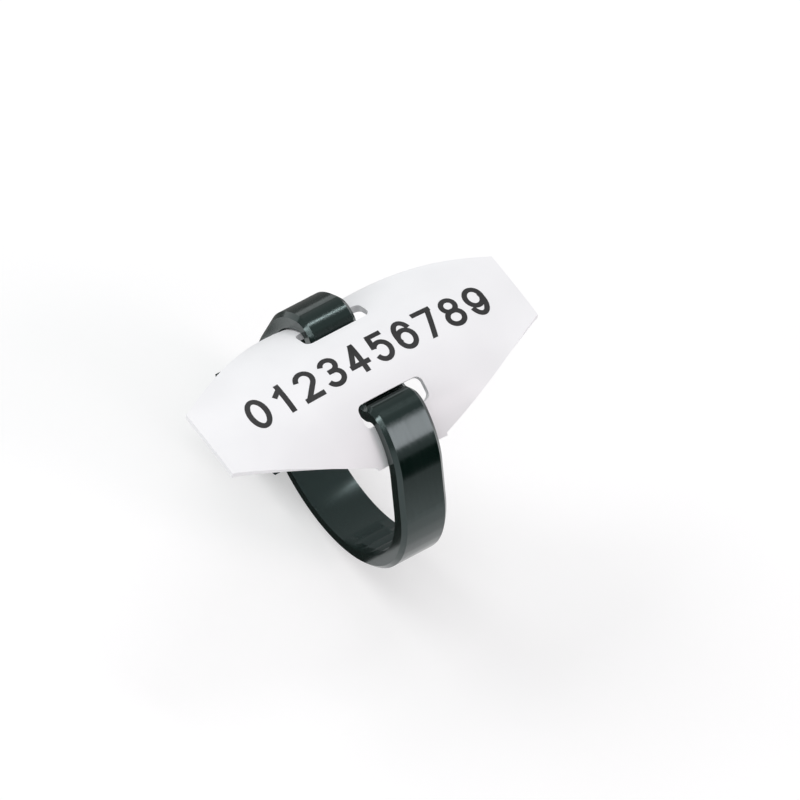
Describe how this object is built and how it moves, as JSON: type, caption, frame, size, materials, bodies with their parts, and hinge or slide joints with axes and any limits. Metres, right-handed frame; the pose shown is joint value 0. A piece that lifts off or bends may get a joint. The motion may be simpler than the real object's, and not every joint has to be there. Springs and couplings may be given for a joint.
{
  "type": "cable marker",
  "caption": "Bent plastic marker plate with slots, held on a cable by a toothed cable tie that is threaded under its middle and locked in its head.",
  "frame": {"origin": "on the axis of the cable that the tie closes on, at the middle of the strap's width", "axes": "+X along the cable, +Z out through the middle of the plate, -Y to the front, with the head at the back"},
  "size_m": [0.025, 0.0209, 0.0195],
  "materials": {
    "plate": "satin white plastic",
    "tie": "satin black nylon"
  },
  "bodies": {
    "root": {"marker_plate": "plate", "cable_tie": "tie"}
  },
  "joints": []
}
